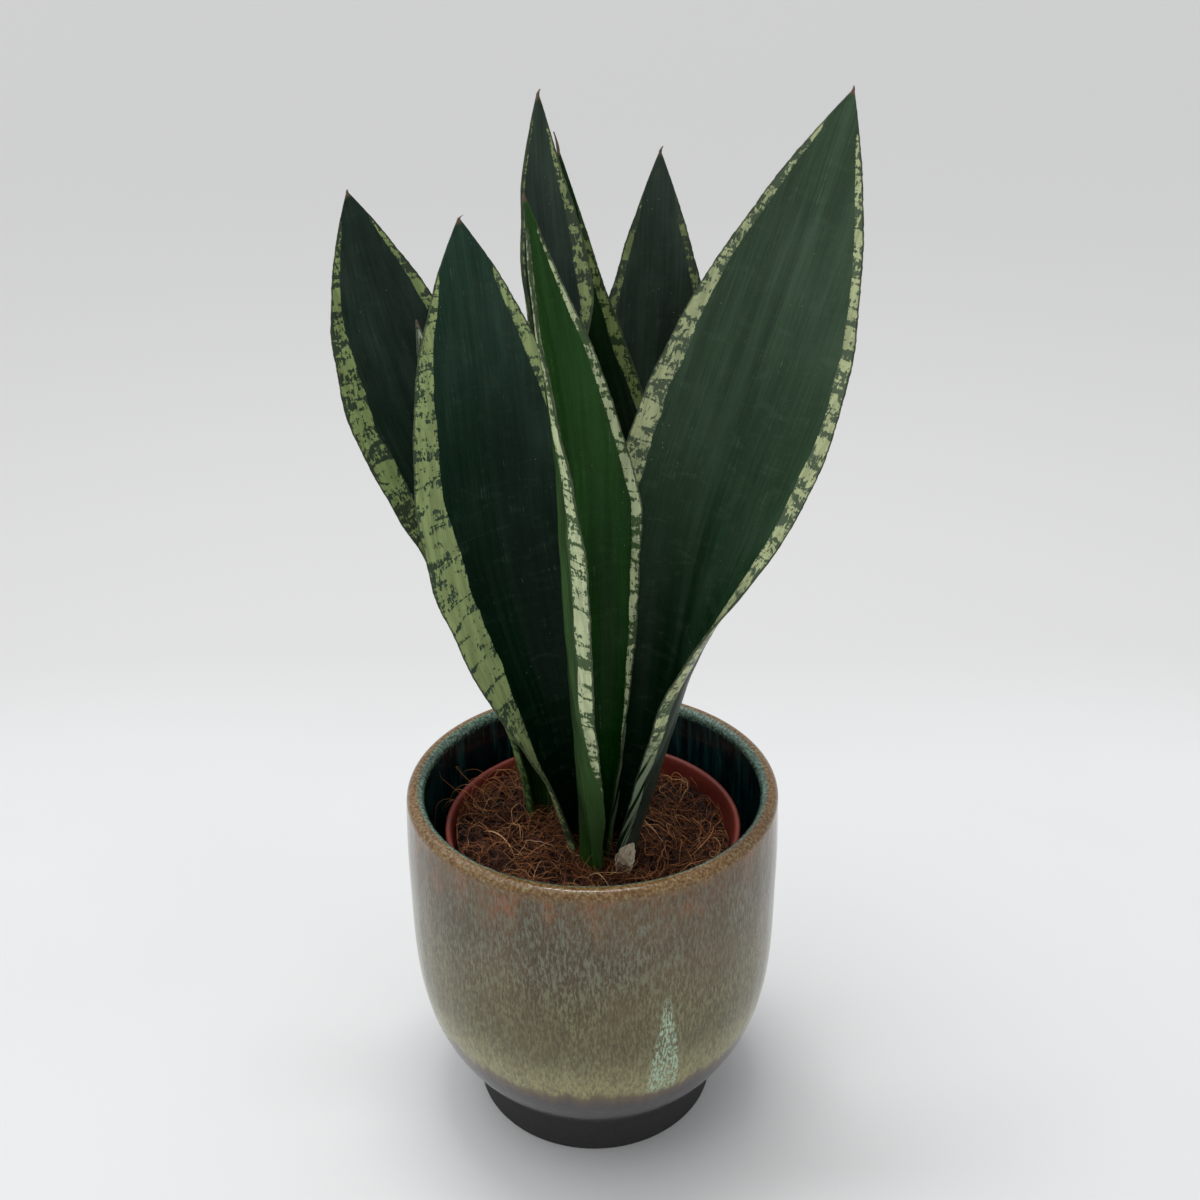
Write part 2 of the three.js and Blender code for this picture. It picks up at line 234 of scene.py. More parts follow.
def add_piece(name, points, faces, material, nodes=(), attributes=None):
    """A visible piece that stands for these CAD nodes. Attributes are numbers or vectors, one a point."""
    mesh = bpy.data.meshes.new(name)
    mesh.from_pydata((np.asarray(points, float) * MM).tolist(), [], faces)
    for key, values in (attributes or {}).items():
        values = np.asarray(values, np.float32)
        wide = values.ndim == 2
        layer = mesh.attributes.new(key, "FLOAT_VECTOR" if wide else "FLOAT", "POINT")
        layer.data.foreach_set("vector" if wide else "value", values.ravel())
    mesh.materials.append(material)
    mesh.shade_smooth()
    mesh.update()
    piece = new_object(name, mesh)
    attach(piece, BODY)
    if nodes:
        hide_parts(*nodes)
    return piece


def grid_faces(rows, columns, around=True):
    """Quads between rows of equally many points, closed round each row or not."""
    k, i = np.meshgrid(np.arange(rows - 1), np.arange(columns if around else columns - 1), indexing="ij")
    j = (i + 1) % columns
    low, high = k * columns, (k + 1) * columns
    return np.stack([low + i, low + j, high + j, high + i], -1).reshape(-1, 4)


def closed_rings(rings, first, last):
    """Rings of points joined to one another, and each end closed by a fan to its middle point."""
    count, segments = rings.shape[:2]
    points = np.vstack([rings.reshape(-1, 3), first, last])
    middle, end = count * segments, (count - 1) * segments
    faces = grid_faces(count, segments).tolist()
    for i in range(segments):
        j = (i + 1) % segments
        faces.append([middle, j, i])
        faces.append([middle + 1, end + i, end + j])
    return points, faces


def spline(points, divisions):
    """A smooth curve through [radius, height] points, as the CAD's."""
    p = np.array(points, float)
    out = []
    for t in np.linspace(0, len(p) - 1, divisions + 1):
        k = min(int(t), len(p) - 2)
        w = t - k
        a, b, c, d = p[max(k - 1, 0)], p[k], p[k + 1], p[min(k + 2, len(p) - 1)]
        v0, v1 = (c - a) / 2, (d - b) / 2
        out.append((2 * b - 2 * c + v0 + v1) * w**3 + (3 * c - 3 * b - 2 * v0 - v1) * w**2 + v0 * w + b)
    return out


def turned(profile, segments, shift=None):
    """A body of revolution with both ends on the axis. shift(angle, r, z) moves its radius."""
    profile = np.array(profile, float)
    inner = profile[1:-1]
    angle = np.linspace(0, 2 * np.pi, segments, endpoint=False)
    r, z = np.repeat(inner[:, :1], segments, 1), np.repeat(inner[:, 1:], segments, 1)
    a = np.repeat(angle[None], len(inner), 0)
    if shift is not None:
        r = r + shift(a, r, z)
    rings = np.stack([r * np.cos(a), r * np.sin(a), z], -1)
    return closed_rings(rings, [0, 0, profile[0, 1]], [0, 0, profile[-1, 1]])


def arc(radius, height, size, start, end, steps):
    """[radius, height] points round a centre, from one angle to another."""
    angles = np.linspace(start, end, steps)
    return [[radius + size * math.cos(a), height + size * math.sin(a)] for a in angles]


# -------------------- leaves

LEAF_ROOT = box_mm("leaf_front")[0][2]
MIDDLE, MARGIN, TIP_WIDTH, SLIM_BELOW = 2.6, 0.9, 1.0, 6.0
FRONT, BACK, SIDE = (3, -12), (8, 12), (-20, 18)

# The CAD's plan of each leaf, and then how it looks:
# bands: rows of [share of the height, width of the pale margin on the left, on the right], as seen from
#   the hollow of the leaf; below zero there is none
# low, top, fade: the colour of the middle low down and high up, and the shares of the height between them
# back, pale: the colours of the back and of the margins
# bloom_and_sheen, cover: how much waxy bloom and painted sheen the middle has, and how high the noise must
# be
#   for a dark fleck in the margin
# fresh, striped: up to what height the foot is fresh green, and the margins are striped lengthwise
# crease, awl, curl: depth of the midrib's crease, length of the dry awl at the tip, and how it bends
LEAVES = {
    "leaf_front": dict(
        shoot=FRONT, height=279, width=57, widest=0.62, root=0.42, blunt=1.05,
        sections=[
            [0, -6.5, -5, 150, 65], [0.15, -6.5, -5, 150, 65], [0.26, -7, -7, 115, 62],
            [0.36, -7.5, -9, 95, 60], [0.52, -9, -12, 90, 60], [0.68, -10, -14, 78, 58],
            [0.8, -13, -15, 62, 52], [0.9, -18, -15, 56, 50], [1, -22, -16, 80, 48],
        ],
        bands=[
            [0, -1, -1], [0.2, -1, -1], [0.29, 3.6, 0.8], [0.36, 6, 2.4], [0.44, 6.8, 3.2], [0.6, 6.8, 4],
            [0.75, 4.5, 3.5], [0.88, 2.4, 2], [0.96, 1, 1], [0.98, -1, -1],
        ],
        low=(4, 44, 0), top=(30, 64, 22), back=(66, 98, 54), pale=(206, 218, 172), fade=(0.3, 0.75),
        bloom_and_sheen=0.1, cover=0.53, fresh=50, crease=0.5, awl=1.5, curl=0.2,
    ),
    "leaf_front_left": dict(
        shoot=FRONT, height=268, width=63, widest=0.62, root=0.36, blunt=2.1,
        sections=[
            [0, -9, 9.5, 130, 25], [0.1, -10, 9, 130, 25], [0.2, -14, 7, 105, 24], [0.3, -19, 5, 75, 22],
            [0.44, -28, 3, 50, 20], [0.6, -35.5, 2, 38, 18], [0.8, -40, 6, 32, 16], [1, -45.5, 14, 20, 14],
        ],
        bands=[
            [0, 3, 3], [0.16, 5, 4], [0.205, 4, 4], [0.25, 5, 5], [0.3, 8.5, 5], [0.354, 11.5, 5.5],
            [0.436, 15, 6], [0.53, 15.5, 6], [0.605, 14.5, 6], [0.687, 12, 6], [0.772, 9, 5.5],
            [0.85, 5, 5], [0.892, 3.5, 4], [0.93, 1.4, 2.2], [0.95, -1, -1],
        ],
        low=(0, 25, 10), top=(34, 56, 44), back=(40, 66, 48), pale=(172, 190, 128), fade=(0.5, 0.95),
        bloom_and_sheen=0.25, cover=0.54, fresh=25, crease=0.15, awl=1.2, curl=1.6,
    ),
    "leaf_front_right": dict(
        shoot=FRONT, height=306, width=73, widest=0.6, root=0.34, blunt=1.9,
        sections=[
            [0, 12, 4, 140, -60], [0.08, 12.5, 4, 140, -60], [0.15, 17, 3, 125, -60],
            [0.27, 24.5, 1, 108, -58], [0.36, 29, 0, 98, -52], [0.45, 33, 0, 75, -40],
            [0.55, 39.5, 3, 50, -26], [0.7, 54.5, 10, 34, -16], [0.85, 70, 19, 28, -12],
            [1, 85, 28, 20, -10],
        ],
        bands=[
            [0, 3, 3], [0.2, 5, 4], [0.35, 7.5, 6.5], [0.45, 9, 7.2], [0.6, 9.5, 7.2], [0.7, 7.5, 5.5],
            [0.8, 4.5, 4], [0.9, 3, 3], [0.955, 1.6, 1.6], [0.975, -1, -1],
        ],
        low=(0, 34, 12), top=(54, 72, 54), back=(70, 84, 72), pale=(190, 200, 152), fade=(0.2, 0.95),
        bloom_and_sheen=0.3, cover=0.515, fresh=25, striped=80, crease=1.1, awl=1.6, curl=-0.2,
    ),
    "leaf_centre": dict(
        shoot=BACK, height=305, width=34, widest=0.75, root=0.5, blunt=1.6,
        sections=[
            [0, -10, -3, 140, 20], [0.2, -10.5, -3, 135, 20], [0.4, -12.5, -2, 135, 16],
            [0.6, -18, 0, 128, 14], [0.72, -20.5, 1, 110, 16], [0.82, -21.5, 3, 60, 24],
            [0.92, -24, 6, 42, 28], [1, -24, 8, 30, 28],
        ],
        bands=[
            [0, 2, 3], [0.5, 3, 5], [0.7, 2.5, 5.2], [0.82, 2, 5.5], [0.9, 1.2, 3], [0.97, 0.8, 1],
            [0.985, -1, -1],
        ],
        low=(22, 36, 28), top=(38, 50, 42), back=(46, 66, 50), pale=(158, 174, 118), fade=(0.4, 0.9),
        bloom_and_sheen=0.45, cover=0.51, fresh=30, crease=0.9, awl=2.0, curl=0.6,
    ),
    "leaf_back": dict(
        shoot=BACK, height=285, width=56, widest=0.62, root=0.38, blunt=1.05,
        sections=[
            [0, 4.5, 0, 130, -5], [0.2, 3, 7, 110, -5], [0.4, 0, 17, 75, -5],
            [0.6, -5, 23, 52, 0], [0.8, -13, 25, 42, 5], [1, -18, 26, 25, 5],
        ],
        bands=[
            [0, 3, 3], [0.4, 5, 4], [0.6, 5, 5], [0.75, 4, 6], [0.88, 2.5, 3], [0.96, -1, -1],
        ],
        # painted shade: this leaf's low and top colours are darkened for the shade it stands in behind the
        # others
        low=(2, 15, 2), top=(14, 40, 12), back=(40, 66, 44), pale=(140, 158, 96), fade=(0.5, 0.95),
        bloom_and_sheen=0.1, cover=0.515, fresh=40, crease=0.4, awl=7.0, curl=-0.15,
    ),
    "leaf_back_right": dict(
        shoot=BACK, height=283, width=60, widest=0.58, root=0.36, blunt=1.7,
        sections=[
            [0, 8.7, 13, 130, -20], [0.2, 9, 22, 110, -16], [0.4, 11, 33, 70, -10],
            [0.6, 14.5, 39, 42, -5], [0.8, 17.5, 42, 32, 0], [1, 18.5, 42, 20, 0],
        ],
        bands=[
            [0, 3, 3], [0.5, 6, 5], [0.72, 6, 5], [0.82, 4, 4], [0.92, 2, 2.4], [0.965, -1, -1],
        ],
        low=(24, 36, 27), top=(48, 60, 51), back=(44, 62, 48), pale=(148, 164, 110), fade=(0.5, 0.95),
        bloom_and_sheen=0.45, cover=0.505, fresh=30, crease=0.3, awl=2.2, curl=0.5,
    ),
    "leaf_side": dict(
        shoot=SIDE, height=272, width=58, widest=0.68, root=0.34, blunt=1.9,
        sections=[
            [0, -4, 2, 140, 20], [0.1, -4.5, 3, 135, 22], [0.24, -10, 5, 115, 24], [0.4, -20, 9, 85, 24],
            [0.54, -28, 12, 62, 22], [0.72, -46, 15, 40, 20], [0.86, -57, 17, 32, 18], [1, -65, 18, 20, 16],
        ],
        bands=[
            [0, 3, 3], [0.3, 8, 5], [0.57, 11, 5.5], [0.69, 11.5, 5.5], [0.735, 11, 5.5], [0.8, 8, 5.2],
            [0.86, 4.6, 4.5], [0.91, 2.8, 2.8], [0.96, 1.4, 1.4], [0.98, -1, -1],
        ],
        low=(22, 40, 29), top=(32, 46, 38), back=(42, 66, 46), pale=(162, 182, 118), fade=(0.4, 0.9),
        bloom_and_sheen=0.3, cover=0.515, fresh=95, crease=0.2, awl=1.2, curl=0.3,
    ),
    "leaf_side_young": dict(
        shoot=SIDE, height=228, width=26, widest=0.6, root=0.5, blunt=1.5,
        sections=[
            [0, 11, -5, 130, 10], [0.3, 4, -5, 110, 10], [0.6, -18, 1, 80, 12],
            [0.85, -36, 7, 60, 12], [1, -42, 8, 40, 10],
        ],
        bands=[[0, -1, -1], [0.93, -1, -1], [0.97, 1.2, 1.2], [1, 2, 2]],
        low=(30, 50, 36), top=(60, 78, 60), back=(60, 80, 60), pale=(190, 200, 180), fade=(0.5, 0.95),
        bloom_and_sheen=0.3, cover=0.6, fresh=30, crease=0.2, awl=1.2, curl=0.0,
    ),
}


def along_column(rows, column, share):
    """One column of a leaf's sections at shares of its height, on the CAD's smooth curve."""
    keys, values = rows[:, 0], rows[:, column]
    index = np.arange(len(keys))
    before, after = np.maximum(index - 1, 0), np.minimum(index + 1, len(keys) - 1)
    slope = (values[after] - values[before]) / (keys[after] - keys[before])
    k = np.clip(np.searchsorted(keys, share, side="left") - 1, 0, len(keys) - 2)
    span = keys[k + 1] - keys[k]
    t = (share - keys[k]) / span
    t2, t3 = t * t, t**3
    return ((2 * t3 - 3 * t2 + 1) * values[k] + (t3 - 2 * t2 + t) * span * slope[k]
            + (3 * t2 - 2 * t3) * values[k + 1] + (t3 - t2) * span * slope[k + 1])


def blade_width(plan, share):
    opening = (1 - np.cos(np.pi * share / plan["widest"])) / 2
    low = plan["width"] * (plan["root"] + (1 - plan["root"]) * opening)
    left = np.clip((1 - share) / (1 - plan["widest"]), 0, 1)
    high = TIP_WIDTH + (plan["width"] - TIP_WIDTH) * (1 - (1 - left) ** plan["blunt"])
    return np.where(share < plan["widest"], low, high)


def leaf_point(plan, rows, share):
    return np.stack([
        plan["shoot"][0] + along_column(rows, 1, share),
        plan["shoot"][1] + along_column(rows, 2, share),
        LEAF_ROOT + plan.get("rise", 0) + plan["height"] * share,
    ], -1)


CLOSER_FROM = 0.97  # share of the height from which a leaf's rows are closer together


def leaf_mesh(plan, seed, stations=300, columns=68):
    """The CAD's leaf with rounded, slightly uneven margins, a midrib crease, ribs and a dried awl."""
    rows = np.array(plan["sections"], float)
    height, awl = plan["height"], plan["awl"]
    even = np.linspace(0, 1, stations)
    near_tip = np.linspace(CLOSER_FROM, 1, 24)[:-1]
    share = np.concatenate([even[even < CLOSER_FROM], near_tip, 1 + np.linspace(0, awl / height, 9)])
    held = np.minimum(share, 1)

    heading = unit(leaf_point(plan, rows, held + 0.004) - leaf_point(plan, rows, held - 0.004))
    start = ease(held, 0, 1 / 22)[:, None]
    heading = unit(heading * start + np.array([0, 0, 1.0]) * (1 - start))
    facing = np.radians(along_column(rows, 4, held))
    front = np.stack([np.sin(facing), -np.cos(facing), 0 * facing], -1)
    front = unit(front - heading * (front * heading).sum(-1, keepdims=True))
    side = np.cross(heading, front)
    fold = np.radians(along_column(rows, 3, held))

    beyond = (share - held) * height
    centre = leaf_point(plan, rows, held) + heading * beyond[:, None]
    bend = side * plan["curl"] - front * abs(plan["curl"]) * 0.3
    centre += bend * (beyond[:, None] ** 2 / max(awl, 1e-6)) * 0.9
    half = blade_width(plan, held) / 2
    half = np.where(share > 1, 0.55 * (1 - 0.6 * ease(beyond, 0, awl + 0.01)), half)
    radius = half / fold
    along = share * height
    to_tip = height + awl - along

    even = np.linspace(-1, 1, columns + 1)
    inner = 0.62 * even + 0.38 * np.sin(np.pi / 2 * even)
    across = np.concatenate([inner, inner[-2:0:-1]])
    outward = np.concatenate([np.full(columns + 1, -1.0), np.full(columns - 1, 1.0)])
    outward[0] = outward[columns] = 0

    a, s = np.meshgrid(across, along, indexing="xy")
    h, f, r = half[:, None], fold[:, None], radius[:, None]
    out = outward[None]
    width_mm = a * h
    edge = (1 - np.abs(a)) * h

    slim = plan.get("slim", 1) * np.minimum(1, h / SLIM_BELOW)
    thick = slim * (MARGIN + (MIDDLE - MARGIN) * (1 - a * a))
    thick = np.maximum(thick, np.minimum(1.0, 1.7 * h) * (to_tip < 12)[:, None] * plan.get("slim", 1))
    lip = np.minimum(0.45, 0.5 * h)
    thick = thick * np.sqrt(np.clip(1 - (1 - np.minimum(edge / lip, 1)) ** 2, 0, 1))

    def each_side(first_seed, right, left):
        return np.where(a > 0, ripple(s, first_seed, right), ripple(s, first_seed + 1, left))

    # ragged margins, each side its own
    nicks = each_side(seed + 1, [2.1, 3.4, 7, 19], [1.9, 3.9, 8, 23])
    turn = f * a * (1 + 0.13 * nicks * np.minimum(h / 12, 1) / np.maximum(h, 1) * np.abs(a) ** 10)

    # the blade's waves, its midrib crease and its lengthwise ribs
    near_edge = np.clip(1 - edge / 13, 0, 1) ** 2
    wide = ease(h, 3, 14)
    shares = s / height
    lift = 0.42 * each_side(seed + 3, [27, 44, 71], [24, 39, 66]) * near_edge * wide
    middle = np.exp(-((width_mm / 1.7) ** 2))
    lift += plan["crease"] * middle * ease(shares, 0.2, 0.4) * ease(shares, 1, 0.7) * wide
    ribs = ripple(a * 30, seed + 5, [1.5, 2.3, 4.1, 6.3])
    lift += 0.07 * ribs * wide * (1 - near_edge) * (out <= 0) * np.abs(out)
    lift += 0.12 * ripple(a * 30, seed + 6, [2.2, 3.7, 8]) * wide * (1 - near_edge) * (out > 0)
    lift += 0.10 * ripple(s + 0.25 * width_mm, seed + 7, [17, 31]) * wide

    reach = r + out * thick / 2 + lift
    points = (centre[:, None] + side[:, None] * (reach * np.sin(turn))[..., None]
              + front[:, None] * (r - reach * np.cos(turn))[..., None])

    size = len(across)
    faces = grid_faces(len(share), size).tolist()
    last = (len(share) - 1) * size
    for i in range(columns):
        b, c, d = i + 1, (size - i - 1) % size, (size - i) % size
        for base, flip in ((0, False), (last, True)):
            ring = [base + k for k in dict.fromkeys([i, b, c, d])]
            if len(ring) > 2:
                faces.append(ring if flip else ring[::-1])

    keys, left, right = np.array(plan["bands"], float).T
    band = np.where(a > 0, np.interp(shares, keys, right), np.interp(shares, keys, left))
    tip = np.repeat(to_tip[:, None], size, 1)
    attributes = {
        "leaf_mm": np.stack([width_mm, s, np.repeat((out > 0) * 1.0, len(share), 0)], -1).reshape(-1, 3),
        "leaf_edge": np.stack([edge, band, tip], -1).reshape(-1, 3),
    }
    return points.reshape(-1, 3), faces, attributes


def leaf_material(name, plan, seed):
    t = Tree(name)
    across, along, face = t.split(t.attribute("leaf_mm"))
    edge, band, tip = t.split(t.attribute("leaf_edge"))
    layer = t.add(t.times(face, 5.3), seed * 1.7)

    def grain(scale_across, scale_along, shift):
        return t.join(t.times(across, scale_across), t.times(along, scale_along), t.add(layer, shift))

    # the dark middle: deep green below, greyer above, with fine lengthwise streaks, and pale mottled patches
    # and a waxy bloom, both partly painted sheen
    fine = t.noise(grain(1.5, 0.035, 1), detail=5, rough=0.65)
    broad = t.noise(grain(0.17, 0.012, 2), detail=3)
    cloud = t.noise(grain(0.05, 0.022, 4), detail=4, rough=0.6)
    low, top = (plan["height"] * share for share in plan["fade"])
    up = t.step(t.add(along, t.sway(cloud, 90)), low, top)
    colour = t.blend(up, plan["low"], plan["top"])
    tone = t.step(t.add(t.times(fine, 0.5), t.times(broad, 0.5)), 0.4, 0.64)
    paler = t.blend(up, toned(plan["low"], 1.3, 4), toned(plan["top"], 1.22, 5))
    colour = t.blend(t.times(tone, 0.8), colour, paler)
    mottle = t.noise(grain(0.09, 0.24, 3), detail=5, rough=0.6, distort=0.7)
    # lighter mottled patches: the leaf's own mottling, partly a painted sheen
    colour = t.blend(t.times(t.step(mottle, 0.52, 0.7), 0.16), colour, toned(plan["top"], 1.3, 10))
    # pale waxy bloom high on the leaf, partly a painted sheen
    bloom_and_sheen = t.times(t.step(cloud, 0.42, 0.7), up, plan["bloom_and_sheen"])
    colour = t.blend(t.times(bloom_and_sheen, t.add(0.2, t.times(fine, 0.7))), colour, (86, 104, 92))
    scratch = t.step(t.noise(grain(3.2, 0.03, 15), detail=2), 0.66, 0.72)
    colour = t.blend(t.times(scratch, t.step(mottle, 0.5, 0.62), 0.35), colour, (120, 138, 122))

    # the back of a leaf is paler, with its own stripes
    stripe = t.step(t.add(t.times(fine, 0.4), t.times(broad, 0.6)), 0.42, 0.6)
    behind = t.blend(stripe, toned(plan["back"], 0.62), plan["back"])
    colour = t.blend(face, colour, behind)

    # pale margins with a crisp inner line, crossed by bands of short dark dashes
    tick = t.noise(grain(0.10, 1.5, 7), detail=3, rough=0.75)
    wander = t.noise(grain(0.02, 0.07, 8), detail=2)
    limit = t.add(band, t.sway(tick, 0.9), t.times(t.sway(wander, 0.35), band))
    within = t.less(limit, edge)
    shade = t.noise(grain(0.5, 0.07, 9), detail=4)
    pale = t.blend(t.step(shade, 0.35, 0.65), toned(plan["pale"], 0.86), plan["pale"])
    dash = t.noise(grain(0.95, 0.42, 10), detail=5, rough=0.62, distort=0.25)
    bands = t.noise(grain(0.055, 0.2, 11), detail=4, rough=0.6, distort=1.2)
    border = t.math("MAXIMUM", t.step(edge, 2.2, 0.6), t.step(within, 1.4, 0.0))
    blotch = t.add(t.times(dash, 0.42), t.times(bands, 0.58), t.times(border, 0.028))
    crossed = t.step(blotch, plan["cover"] - 0.012, plan["cover"] + 0.016)
    green = t.blend(fine, toned(plan["top"], 0.8, 14), toned(plan["top"], 1, 26))
    margin = t.blend(t.times(crossed, 0.92), pale, green)
    if "striped" in plan:
        lines = t.step(t.noise(grain(0.8, 0.012, 12), detail=2, rough=0.5), 0.45, 0.52)
        lines = t.blend(lines, (10, 36, 14), (140, 156, 130))
        striped = t.step(t.add(along, t.sway(fine, 30)), plan["striped"] + 12, plan["striped"] - 12)
        margin = t.blend(striped, margin, lines)
    rim = t.step(t.add(edge, t.sway(tick, 0.5)), 0.62, 0.3)
    margin = t.blend(t.times(rim, 0.85), margin, (58, 68, 50))
    colour = t.blend(t.step(within, -0.1, 0.2), colour, margin)

    # the foot is fresher green, and the awl at the tip dry and brown
    foot = t.step(t.add(along, t.sway(broad, 40)), plan["fresh"], plan["fresh"] * 0.35)
    fresh = t.blend(t.step(fine, 0.35, 0.65), (16, 60, 10), (46, 100, 26))
    colour = t.blend(t.times(foot, 0.6), colour, fresh)
    speck = t.step(t.cells(grain(0.42, 0.34, 5)), 0.075, 0.04)
    dusty = t.step(t.noise(grain(0.05, 0.05, 6), detail=2), 0.55, 0.62)
    colour = t.blend(t.times(speck, dusty, 0.55), colour, (190, 198, 186))
    dry = t.step(t.add(tip, t.sway(shade, 3)), plan["awl"] + 2.0, plan["awl"] + 0.4)
    husk = t.blend(fine, (58, 46, 38), (132, 116, 96))
    colour = t.blend(dry, colour, husk)

    rough = t.add(0.30, t.times(bloom_and_sheen, 0.5), t.times(fine, 0.12), t.times(dry, 0.35))
    relief = t.add(t.times(fine, 0.6), t.times(t.noise(grain(2.6, 0.9, 13), detail=2), 0.4))
    normal = t.bump(relief, 0.09, t.bump(crossed, 0.035))
    return t.finish(Base_Color=colour, Roughness=rough, Normal=normal, IOR=1.4, Specular_IOR_Level=0.14)


for number, (name, plan) in enumerate(LEAVES.items()):
    points, faces, attributes = leaf_mesh(plan, 100 * number)
    look = leaf_material(name, plan, number + 1)
    add_piece(name + "_blade", points, faces, look, [name], attributes)


# -------------------- papery sheath

def paper_material():
    t = Tree("papery_sheath")
    across, along, face = t.split(t.attribute("leaf_mm"))
    vein = t.noise(t.join(t.times(across, 2.2), t.times(along, 0.16), face), detail=4, rough=0.6)
    stain = t.noise(t.join(t.times(across, 0.3), t.times(along, 0.3), 4.0), detail=4)
    colour = t.ramp(vein, (0.3, (168, 152, 120)), (0.5, (222, 210, 184)), (0.75, (240, 234, 218)))
    colour = t.blend(t.step(stain, 0.52, 0.7), colour, (150, 112, 78))
    return t.finish(Base_Color=colour, Roughness=0.8, Normal=t.bump(vein, 0.18))


CRUMPLE = 0.12
sheath_foot = box_mm("papery_sheath")[0][2]
sheath = dict(
    shoot=FRONT, height=14, width=9, widest=0.55, root=0.7, blunt=2, slim=0.4, rise=sheath_foot - LEAF_ROOT,
    awl=0.2, curl=0, crease=0.2, bands=[[0, 1, 1], [1, 1, 1]],
    sections=[[0, 9, -8.5, 60, -15], [0.6, 10, -8.5, 55, -15], [1, 13, -7.5, 40, -25]],
)
points, faces, attributes = leaf_mesh(sheath, 950, stations=60, columns=28)
crumple = np.stack([
    ripple(points[:, 2] * 1.3 + points[:, 1], 951, [3, 5]),
    ripple(points[:, 2] + points[:, 0] * 1.2, 952, [4, 6]),
    ripple(points[:, 0] * 1.4, 953, [3.5, 6]),
], -1)
points = points + CRUMPLE * crumple * ease(points[:, 2:], sheath_foot, sheath_foot + 5)
look = paper_material()
add_piece("papery_sheath_husk", points, faces, look, ["papery_sheath"], attributes)


# -------------------- cachepot

FULL, HEIGHT = box_mm("cachepot")[1][[0, 2]]
RIM = FULL - 0.8
SWELL_HEIGHT, LIP_TUCK, BOWL_CURVE = 100, 24, 3.35  # the CAD's names and values
FOOT, FOOT_HEIGHT, SHOULDER, WALL, FLOOR, FILLET = 51, 17, 1.8, 7, 20, 5
LIP = WALL / 2


def bowl(z):
    below = np.maximum(SWELL_HEIGHT - z, 0) / (SWELL_HEIGHT - FOOT_HEIGHT)
    return FULL - (FULL - FOOT - SHOULDER) * below**BOWL_CURVE


def upper_wall(inset, steps):
    lip = HEIGHT - LIP
    points = [[FULL - inset, SWELL_HEIGHT], [FULL - inset, lip - LIP_TUCK], [RIM - inset, lip]]
    return spline(points, steps)


def pot_profile():
    hollow = [[0, 1.2], [FOOT - 9, 1.2], [FOOT - 7.5, 0.6], [FOOT - 6.5, 0]]
    foot_edge = arc(FOOT - 1, 1, 1, -np.pi / 2, 0, 5)
    foot_wall = [[FOOT - 0.15 * math.sin(np.pi * k / 14), z]
                 for k, z in enumerate(np.linspace(1.6, FOOT_HEIGHT - 1.6, 14))]
    # the glaze ends above the foot in a soft roll
    roll_points = ((0.1, -0.9), (0.6, -0.7), (1.2, -0.35), (1.8, 0.15))
    roll = [[FOOT + out, FOOT_HEIGHT + up] for out, up in roll_points]
    outside = [[bowl(z), z] for z in np.linspace(FOOT_HEIGHT + 0.9, SWELL_HEIGHT, 64)]
    rim = arc(RIM - LIP, HEIGHT - LIP, LIP, 0, np.pi, 22)[1:-1]
    inside = [[bowl(z) - WALL, z] for z in np.linspace(SWELL_HEIGHT, FLOOR + FILLET, 30)]
    corner = bowl(FLOOR + FILLET) - WALL
    fillet = [[corner - FILLET * (1 - math.cos(a)) - 0.4 * math.sin(a), FLOOR + FILLET * (1 - math.sin(a))]
              for a in np.linspace(0, np.pi / 2, 8)[1:]]
    floor = [[r, FLOOR] for r in np.linspace(fillet[-1][0], 0, 12)[1:]]
    return [*hollow, *foot_edge, *foot_wall, *roll, *outside, *upper_wall(0, 26)[1:], *rim,
            *upper_wall(WALL, 18)[::-1][:-1], *inside, *fillet, *floor]


def pot_shift(angle, r, z):
    """Throwing lines on the foot, a gently wandering wall and a glaze roll of uneven thickness."""
    outer = r > bowl(np.maximum(z, FOOT_HEIGHT)) - WALL / 2
    foot = (z < FOOT_HEIGHT - 1) & (r > FOOT - 2)
    lines = 0.05 * np.sin(2 * np.pi * z / 1.7 + 0.6 * np.sin(angle)) * foot * (z > 1.2)
    roll = np.exp(-(((z - FOOT_HEIGHT - 0.6) / 1.3) ** 2)) * 0.22 * ring_ripple(angle, 31, [5, 9, 14, 23])
    wall = 0.14 * ring_ripple(angle + z * 0.004, 32, [2, 3, 5])
    wall = wall + 0.05 * ring_ripple(angle, 33, [17, 26, 41]) * ease(z, 20, 60)
    glazed = (z > FOOT_HEIGHT) * (r > 45) * ease(HEIGHT - z, 0, 8)
    return lines + roll * outer * ~foot + wall * glazed


GLAZE_LINE = 50  # mean height where the bright glaze stops
RUN_ANGLE, RUN_TOP, RUN_FOOT = math.atan2(-68, 27), 102, 46  # the mint run


